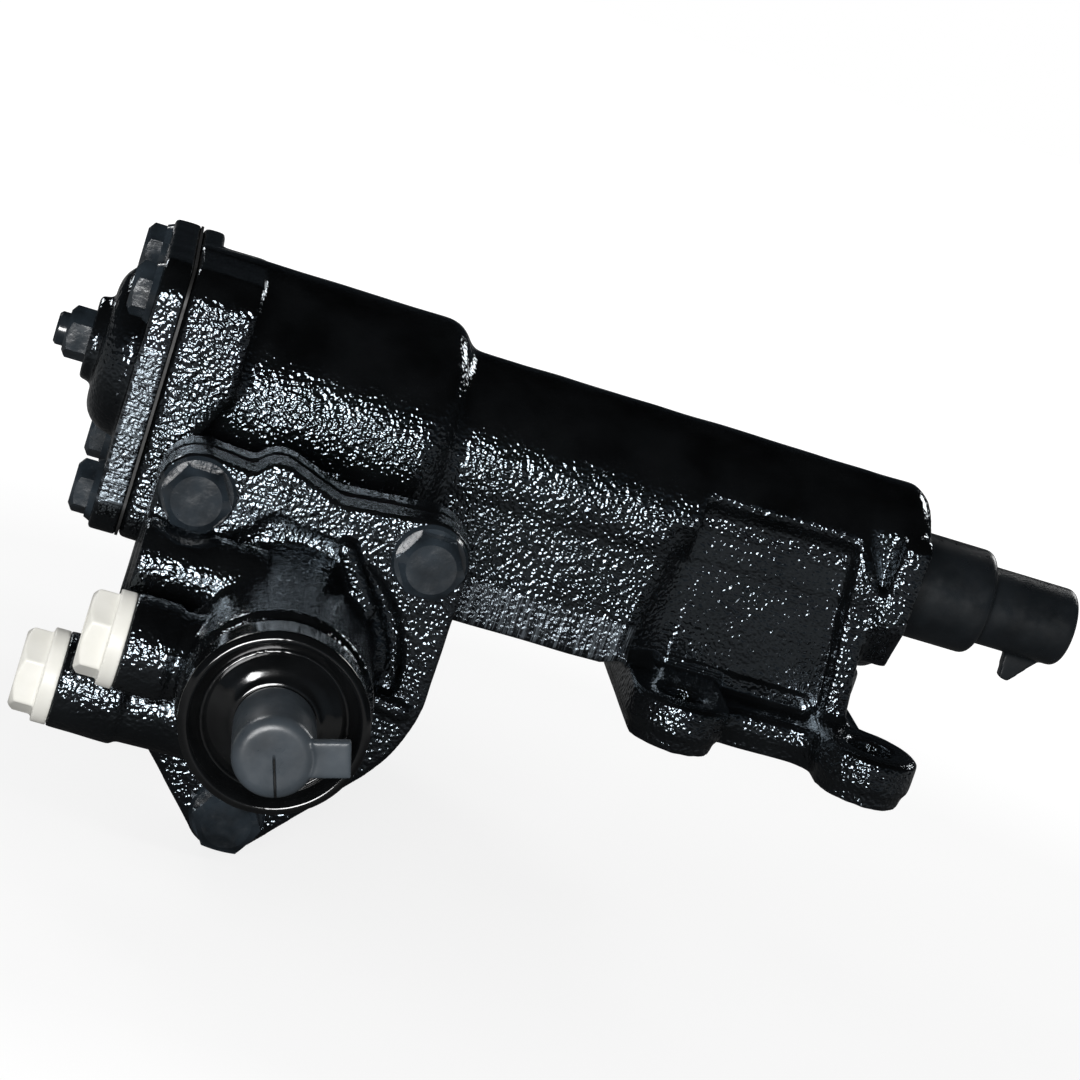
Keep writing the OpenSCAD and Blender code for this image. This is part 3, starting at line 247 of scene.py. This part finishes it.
def tip_vinyl_finish():
    """Satin vinyl of the input cap, with the moulding seam on the lower half of its end: a groove whose
    colour is darkened to near black as painted shade.

    The seam is upright in the photograph, so on the object it leans by the camera's roll.
    """
    made = Shader("cap_vinyl_tip", Specular_IOR_Level=0.6)
    low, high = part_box("input_shaft")
    to_axis = (-(low[0] + high[0]) / 2, 0.0, -(low[2] + high[2]) / 2)
    about = made.node("ShaderNodeMapping", {"Vector": made.place, "Location": to_axis}).outputs[0]
    lean = {"Vector": about, "Angle": CAMERA_ROLL}
    spun = made.node("ShaderNodeVectorRotate", lean, rotation_type="Y_AXIS").outputs[0]
    axes = made.node("ShaderNodeSeparateXYZ", {"Vector": spun}).outputs
    beside = made.span(made.math("ABSOLUTE", axes["X"]), (0.15 * MM, 0.45 * MM), FALL)
    below = made.span(axes["Z"], (0.0, 1.5 * MM), FALL)
    seam_and_painted_shade = made.math("MULTIPLY", beside, below)
    clouds = made.noise(scale=90.0, detail=4.0)
    colour = made.ramp(clouds, NOISE_BAND, grey(0.03, 0.45), grey(0.055, 0.45))
    # The seam's groove is painted near black in the base colour: painted shade in the groove.
    made.set("Base Color", made.blend(seam_and_painted_shade, colour, grey(0.003)))
    made.set("Roughness", made.span(made.noise(scale=260.0, detail=3.0), NOISE_BAND, (0.26, 0.4)))
    grain = made.bump(made.noise(scale=700.0, detail=3.0, rough=0.6), 0.03, strength=0.6)
    made.set("Normal", made.bump(made.math("SUBTRACT", 1.0, seam_and_painted_shade), 0.3, strength=1.0, under=grain))
    return made.mat


# Shapes of the skins, in millimetres of the frame
def ripple(mesh, swell, wave):
    """Moves each vertex along its normal by a smooth noise, as an uneven sand mould does."""
    moved = []
    for vertex in mesh.vertices:
        height = noise.noise(vertex.co / (wave * MM))
        moved.extend(vertex.co + vertex.normal * (height * swell * MM))
    mesh.vertices.foreach_set("co", moved)
    mesh.update()


def slant_skirt(mesh):
    """Leads the skirt's two sides into the web of the foot on a slope, and evens the web's face."""
    skirt_y, web_y = 28.3, 21.9
    low, high = 16.0, 58.0
    low_fade, high_fade = 2.0, 10.0
    slope_start, slope_lean, slope_end, slope_past = -51.0, 7.0, -35.0, 2.5
    web_end, web_top = 22.0, 50.0
    for vertex in mesh.vertices:
        x, y, z = vertex.co / MM
        if not low < z < high or not web_y - 1 < abs(y) < skirt_y + 2:
            continue
        start = slope_start + slope_lean * (z - low) / (high - low)
        if start < x < slope_end + slope_past:
            share = min((x - start) / (slope_end - start), 1.0)
            fade = min((high - z) / high_fade, (z - low) / low_fade, 1.0)
            limit = skirt_y - (skirt_y - web_y) * share * share * (3 - 2 * share) * fade
            vertex.co.y = math.copysign(min(abs(y), limit), y) * MM
        elif slope_end < x < web_end and abs(y) < web_y + 1 and z < web_top:
            vertex.co.y = math.copysign(web_y, y) * MM


def deepen_skirt(mesh):
    """Lowers the skirt's edge a little between the chamber and the foot."""
    drop, edge, low, high = 3.0, 15.0, 13.0, 30.0
    start, end, fade, half_width = -112.0, -44.0, 8.0, 30.0
    for vertex in mesh.vertices:
        x, y, z = vertex.co / MM
        if low < z < high and start < x < end and abs(y) < half_width:
            along = min((x - start) / fade, (end - x) / fade, 1.0)
            upward = min((high - z) / (high - edge), 1.0)
            vertex.co.z -= drop * along * upward * MM


def round_ears(mesh):
    """Draws the foot's edge in between its two lugs at the output side, which leaves two round ears."""
    inner, high = 27.0, 18.0
    for vertex in mesh.vertices:
        x, y, z = vertex.co / MM
        if x > inner and z < high and abs(y) < FOOT_HOLE_Y:
            off = min(FOOT_HOLE_Y - abs(y), LUG_RADIUS)
            edge = FOOT_HOLE_X + math.sqrt(LUG_RADIUS * LUG_RADIUS - off * off)
            share = (edge - inner) / (FOOT_HOLE_X + LUG_RADIUS - inner)
            vertex.co.x = (inner + (x - inner) * share) * MM


def shape_housing(mesh):
    slant_skirt(mesh)
    deepen_skirt(mesh)
    round_ears(mesh)


def shift_tab(mesh):
    """Moves the tab of the output cap towards the cap's end."""
    shift, tab_drop, half_width = 10.0, 9.3, 2.3
    tip, before_tip, after_tip = 1.5, 2.0, 10.0
    lowest = min(vertex.co.z for vertex in mesh.vertices)
    corners = [vertex.co.x for vertex in mesh.vertices if vertex.co.z < lowest + tip * MM]
    start = min(corners) - before_tip * MM
    end = max(corners) + after_tip * MM
    for vertex in mesh.vertices:
        below = vertex.co.z < lowest + tab_drop * MM
        if below and start < vertex.co.x < end and abs(vertex.co.y) < half_width * MM:
            vertex.co.x += shift * MM


def skin(node_name, body, material, voxel, passes, swell=0.0, wave=0.0, before=None, after=None):
    """Closed skin with rounded edges in place of a CAD node, made from a copy of its mesh.

    before and after change the copy ahead of and behind the rounding. swell and wave are the height and
    the length of the mould's unevenness in millimetres, and voxel is the size of the skin's faces.
    """
    piece = bpy.data.objects.new(node_name + "_skin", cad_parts[node_name].data.copy())
    scene.collection.objects.link(piece)
    if before:
        before(piece.data)
    remesh = piece.modifiers.new("remesh", "REMESH")
    remesh.mode = "VOXEL"
    remesh.voxel_size = voxel * MM
    smooth = piece.modifiers.new("smooth", "SMOOTH")
    smooth.factor = 0.5
    smooth.iterations = passes
    evaluated = piece.evaluated_get(bpy.context.evaluated_depsgraph_get())
    mesh = bpy.data.meshes.new_from_object(evaluated)
    piece.modifiers.clear()
    piece.data = mesh
    if after:
        after(mesh)
        mesh.update()
    if swell:
        ripple(mesh, swell, wave)
    mesh.polygons.foreach_set("use_smooth", [True] * len(mesh.polygons))
    mesh.materials.clear()
    mesh.materials.append(material)
    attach(piece, body)
    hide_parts(node_name)


# Pieces and their finishes
def dress_castings():
    skirt_marks = ((-98, -30, 13), (-46, -26, 24), (1300, 50, 50))
    cover_marks = ((-209, -48, 22), (-199, -43, 66), (50, 50, 1300))
    foot_panel = ((-42, -27, -2), (36, 27, 58))
    housing = cast_paint("housing_paint", 1000.0, 0.5, 0.32, marks=(skirt_marks,), smooth=(foot_panel,))
    valve = cast_paint("valve_housing_paint", 1050.0, 0.38, 0.7)
    cover = cast_paint("cover_paint", 1050.0, 0.28, 0.35, marks=(cover_marks,))
    skin("gear_housing", "housing", housing, voxel=1.1, passes=8, swell=0.25, wave=14.0,
         after=shape_housing)
    skin("valve_housing", "housing", valve, voxel=0.8, passes=7, swell=0.2, wave=9.0)
    skin("side_cover", "housing", cover, voxel=0.8, passes=6, swell=0.15, wave=9.0)


def dress_caps():
    rubber = plain_finish("cover_rubber", grey(0.002, 0.2), grey(0.005, 0.2), rough=0.1, grain=400.0,
                          depth=0.02, spread=0.03, level=0.9)
    vinyl = plain_finish("cap_vinyl", grey(0.006, 0.5), grey(0.011, 0.5), rough=0.34, grain=700.0,
                         depth=0.03)
    ivory = plain_finish("plug_plastic", (0.76, 0.75, 0.69, 1), (0.84, 0.83, 0.78, 1), rough=0.38,
                         grain=600.0, depth=0.02)
    skin("dust_cover", "input", rubber, voxel=0.45, passes=4)
    skin("input_shaft_cap", "input_cap", tip_vinyl_finish(), voxel=0.45, passes=14)
    skin("output_shaft_cap", "output_cap", vinyl, voxel=0.5, passes=6, before=shift_tab)
    skin("pressure_port_plug", "pressure_plug", ivory, voxel=0.4, passes=2)
    skin("return_port_plug", "return_plug", ivory, voxel=0.4, passes=2)


def finish_nodes(material, *node_names):
    """Gives a material to CAD nodes that keep their own mesh."""
    for node_name in node_names:
        mesh_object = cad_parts[node_name]
        for slot in mesh_object.material_slots:
            slot.material = material
        if not mesh_object.material_slots:
            mesh_object.data.materials.append(material)


def bevel(node_name, width):
    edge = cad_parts[node_name].modifiers.new("bevel", "BEVEL")
    edge.width = width * MM
    edge.segments = 2
    edge.limit_method = "ANGLE"
    edge.angle_limit = math.radians(25)
    edge.harden_normals = True


def finish_fasteners():
    paint = plain_finish("fastener_paint", grey(0.006, 0.7), grey(0.028, 0.7), rough=0.16, grain=300.0,
                         depth=0.2, level=1.0)
    for node_name in ("adjusting_screw", "side_cover_bolts", "valve_housing_bolts", "lock_nut"):
        finish_nodes(paint, node_name)
        bevel(node_name, width=0.3)


def finish_seals():
    rubber = plain_finish("seal_rubber", grey(0.01), grey(0.02), rough=0.45, grain=900.0, depth=0.03)
    ptfe = plain_finish("seal_ptfe", (0.05, 0.045, 0.04, 1), (0.09, 0.08, 0.07, 1), rough=0.4,
                        grain=700.0, depth=0.02)
    finish_nodes(rubber, "output_oil_seal", "input_oil_seal", "valve_housing_o_ring", "passage_o_ring",
                 "piston_ring_expander", "side_cover_gasket")
    finish_nodes(ptfe, "piston_seal_ring", "valve_seal_rings")


def turned_steel(name, stretch):
    """Steel with tool marks round the axis that the stretch is largest along."""
    return plain_finish(name, grey(0.42), grey(0.56), rough=0.3, grain=1.0, depth=0.03, metal=1.0,
                        stretch=stretch)


def finish_mechanism():
    along_x = turned_steel("turned_steel_x", (3000, 25, 25))
    along_y = turned_steel("turned_steel_y", (25, 3000, 25))
    bearing = plain_finish("bearing_steel", grey(0.5), grey(0.62), rough=0.2, grain=1500.0, depth=0.01,
                           metal=1.0)
    brass = plain_finish("seat_brass", (0.55, 0.36, 0.13, 1), (0.68, 0.47, 0.2, 1), rough=0.3,
                         grain=900.0, depth=0.02, metal=1.0)
    finish_nodes(along_x, "sector_shaft", "adjuster_shim", "adjuster_retainer", "output_seal_ring")
    finish_nodes(along_y, "rack_piston", "worm_shaft", "valve_sleeve", "torsion_bar", "input_shaft",
                 "torsion_bar_worm_pin", "torsion_bar_input_pin", "bearing_retainer_nut",
                 "retainer_lock_ring", "worm_bearing_ring", "ball_return_guides", "guide_clamp",
                 "clamp_screw")
    finish_nodes(bearing, "cover_needle_bearing", "inner_needle_bearing", "outer_needle_bearing",
                 "input_needle_bearing", "recirculating_balls", "worm_bearing_balls",
                 "worm_bearing_inner_race", "worm_bearing_outer_race")
    finish_nodes(brass, "port_seats")


# Studio
def area_light(name, at, size, power, shiny=True):
    """Rectangular lamp that faces the object; shiny lamps are seen in reflections."""
    data = bpy.data.lights.new(name, "AREA")
    data.shape = "RECTANGLE"
    data.size, data.size_y = size
    data.energy = power
    lamp = bpy.data.objects.new(name, data)
    lamp.location = at
    lamp.rotation_euler = (OBJECT_MIDDLE - Vector(at)).to_track_quat("-Z", "Y").to_euler()
    lamp.visible_camera = False
    lamp.visible_glossy = shiny
    scene.collection.objects.link(lamp)


def floor_paper():
    """Paper that shows its own shading near the object, is white farther off and dim in reflections; its
    glow is lowered around the object as painted shade, to the camera and in reflections.
    """
    oval = (0.6, 1, 1)
    paper = bpy.data.materials.new("floor_paper")
    paper.use_nodes = True
    tree = paper.node_tree
    tree.nodes.clear()
    ray = add(tree, "ShaderNodeLightPath").outputs
    place = add(tree, "ShaderNodeTexCoord").outputs["Object"]
    flat = add(tree, "ShaderNodeVectorMath", {0: place, 1: oval}, operation="MULTIPLY").outputs[0]
    reach = add(tree, "ShaderNodeVectorMath", {0: flat}, operation="LENGTH").outputs["Value"]
    mirrored = calc(tree, "MAXIMUM", ray["Is Glossy Ray"], ray["Is Transmission Ray"])
    # The glow falls off towards the object: painted shade around it, seen by the camera and in
    # reflections.
    camera_glow_painted_shade = ranged(tree, reach, (0.2, 0.5), (0.8, 1.0))
    mirror_glow_painted_shade = ranged(tree, reach, (0.12, 0.35), (0.0, 0.12))
    to_camera = calc(tree, "MULTIPLY", ray["Is Camera Ray"], camera_glow_painted_shade)
    to_mirror = calc(tree, "MULTIPLY", mirrored, mirror_glow_painted_shade)
    glow = add(tree, "ShaderNodeEmission", {"Strength": calc(tree, "ADD", to_camera, to_mirror)})
    matt = add(tree, "ShaderNodeBsdfDiffuse", {"Color": ranged(tree, mirrored, RISE, (0.22, 0.05))})
    both = add(tree, "ShaderNodeAddShader", {0: matt.outputs[0], 1: glow.outputs[0]})
    add(tree, "ShaderNodeOutputMaterial", {"Surface": both.outputs[0]})
    return paper


def make_floor():
    half = 6.0
    gap = 0.5 * MM
    mesh = bpy.data.meshes.new("floor")
    corners = [(-half, -half, 0), (half, -half, 0), (half, half, 0), (-half, half, 0)]
    mesh.from_pydata(corners, [], [(0, 1, 2, 3)])
    mesh.materials.append(floor_paper())
    floor = bpy.data.objects.new("floor", mesh)
    floor.location = (OBJECT_MIDDLE.x, OBJECT_MIDDLE.y, cad_box[0][2] - gap)
    scene.collection.objects.link(floor)


def make_world():
    """White to the camera; in reflections a dim wall in front, a darker one behind and a dark ceiling."""
    soft_level = 0.26
    world = bpy.data.worlds.new("studio")
    scene.world = world
    world.use_nodes = True
    tree = world.node_tree
    ray = add(tree, "ShaderNodeLightPath").outputs
    place = add(tree, "ShaderNodeTexCoord").outputs["Generated"]
    way = add(tree, "ShaderNodeSeparateXYZ", {"Vector": place}).outputs
    wall = ranged(tree, way["Y"], (-0.85, -0.3), (0.1, 0.02))
    ceiling = ranged(tree, way["Z"], (0.1, 0.45), (1.0, 0.01))
    mirrored = calc(tree, "MULTIPLY", ray["Is Glossy Ray"], calc(tree, "MULTIPLY", wall, ceiling))
    soft = calc(tree, "MULTIPLY", ray["Is Diffuse Ray"], soft_level)
    shown = calc(tree, "MAXIMUM", ray["Is Camera Ray"], ray["Is Transmission Ray"])
    level = calc(tree, "MAXIMUM", calc(tree, "MAXIMUM", soft, shown), mirrored)
    background = tree.nodes["Background"]
    tree.links.new(mixed(tree, ray["Is Glossy Ray"], WHITE, STUDIO_TINT), background.inputs["Color"])
    tree.links.new(level, background.inputs["Strength"])


def make_studio():
    scene.view_settings.view_transform = "Standard"
    make_floor()
    make_world()
    area_light("front_softbox", at=(-0.40, -1.2, 0.17), size=(0.54, 0.41), power=13.0)
    area_light("left_fill", at=(-1.2, -0.2, 0.6), size=(0.4, 0.7), power=2.0, shiny=False)
    area_light("right_fill", at=(1.2, -0.2, 0.6), size=(0.4, 0.7), power=4.0, shiny=False)
    area_light("back_left", at=(-0.9, 1.1, 0.75), size=(0.5, 0.4), power=4.5)
    area_light("back_right", at=(0.9, 1.1, 0.75), size=(0.5, 0.4), power=4.5)


make_camera()
dress_castings()
dress_caps()
finish_fasteners()
finish_seals()
finish_mechanism()
make_studio()
